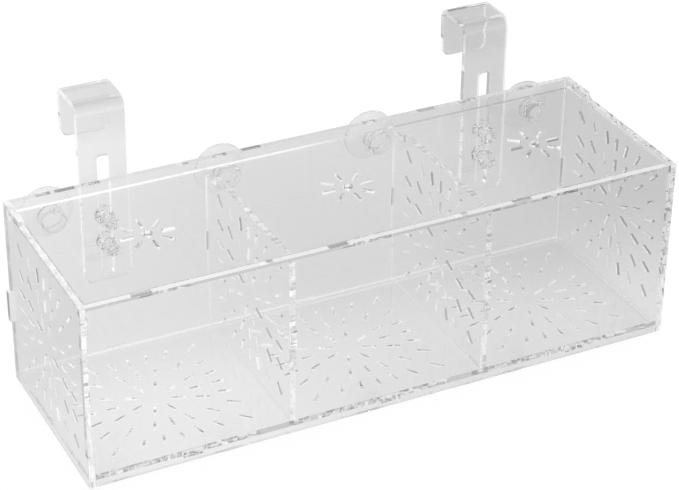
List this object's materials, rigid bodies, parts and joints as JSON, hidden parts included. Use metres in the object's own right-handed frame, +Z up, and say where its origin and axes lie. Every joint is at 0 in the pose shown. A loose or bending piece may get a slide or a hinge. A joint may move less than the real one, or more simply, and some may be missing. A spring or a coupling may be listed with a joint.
{
  "type": "fish breeding box",
  "caption": "Clear box of slotted sheets with compartments side by side, a hinged lid, sliding rim hooks on clamp screws and suction cups at the back.",
  "frame": {"origin": "middle of the base plane: midway between the end panels' side tabs and midway between the front face and the back of the hooks", "axes": "+X to the right along the box, +Y from the front panel towards the tank glass behind the box, +Z up"},
  "size_m": [0.303, 0.123, 0.136],
  "materials": {
    "clear_sheet": "laser-cut clear acrylic sheet, polished",
    "clear_lid": "laser-cut clear acrylic sheet, polished",
    "clear_hook": "bent clear acrylic strip, polished",
    "clear_nylon": "clear moulded plastic, smooth",
    "soft_clear": "soft clear PVC, smooth"
  },
  "bodies": {
    "box": {"front_panel": "clear_sheet", "rear_panel": "clear_sheet", "left_panel": "clear_sheet", "right_panel": "clear_sheet", "floor_panel": "clear_sheet", "left_divider": "clear_sheet", "right_divider": "clear_sheet", "left_upper_screw": "clear_nylon", "left_lower_screw": "clear_nylon", "right_upper_screw": "clear_nylon", "right_lower_screw": "clear_nylon"},
    "lid": {"lid": "clear_lid"},
    "left_hook": {"left_hook": "clear_hook"},
    "right_hook": {"right_hook": "clear_hook"},
    "left_upper_nut": {"left_upper_nut": "clear_nylon"},
    "left_lower_nut": {"left_lower_nut": "clear_nylon"},
    "right_upper_nut": {"right_upper_nut": "clear_nylon"},
    "right_lower_nut": {"right_lower_nut": "clear_nylon"},
    "outer_left_cup": {"outer_left_cup": "soft_clear"},
    "inner_left_cup": {"inner_left_cup": "soft_clear"},
    "inner_right_cup": {"inner_right_cup": "soft_clear"},
    "outer_right_cup": {"outer_right_cup": "soft_clear"}
  },
  "joints": [
    {"name": "lid_hinge", "type": "hinge", "parent": "box", "child": "lid", "pos_m": [0, 0.02895, 0.092], "axis": [-1, 0, 0], "range_deg": [0, 95]},
    {"name": "left_hook_slide", "type": "slide", "parent": "box", "child": "left_hook", "axis": [0, 0, 1], "range_m": [-0.031, 0.013]},
    {"name": "right_hook_slide", "type": "slide", "parent": "box", "child": "right_hook", "axis": [0, 0, 1], "range_m": [-0.031, 0.013]},
    {"name": "left_upper_nut_turn", "type": "hinge", "parent": "box", "child": "left_upper_nut", "pos_m": [-0.101, 0.03145, 0.074], "axis": [0, 1, 0], "continuous": true},
    {"name": "left_lower_nut_turn", "type": "hinge", "parent": "box", "child": "left_lower_nut", "pos_m": [-0.101, 0.03145, 0.06], "axis": [0, 1, 0], "continuous": true},
    {"name": "right_upper_nut_turn", "type": "hinge", "parent": "box", "child": "right_upper_nut", "pos_m": [0.101, 0.03145, 0.074], "axis": [0, 1, 0], "continuous": true},
    {"name": "right_lower_nut_turn", "type": "hinge", "parent": "box", "child": "right_lower_nut", "pos_m": [0.101, 0.03145, 0.06], "axis": [0, 1, 0], "continuous": true},
    {"name": "outer_left_cup_turn", "type": "hinge", "parent": "box", "child": "outer_left_cup", "pos_m": [-0.128, 0.03645, 0.081], "axis": [0, 1, 0], "continuous": true},
    {"name": "inner_left_cup_turn", "type": "hinge", "parent": "box", "child": "inner_left_cup", "pos_m": [-0.04, 0.03645, 0.0835], "axis": [0, 1, 0], "continuous": true},
    {"name": "inner_right_cup_turn", "type": "hinge", "parent": "box", "child": "inner_right_cup", "pos_m": [0.04, 0.03645, 0.0835], "axis": [0, 1, 0], "continuous": true},
    {"name": "outer_right_cup_turn", "type": "hinge", "parent": "box", "child": "outer_right_cup", "pos_m": [0.128, 0.03645, 0.081], "axis": [0, 1, 0], "continuous": true}
  ]
}
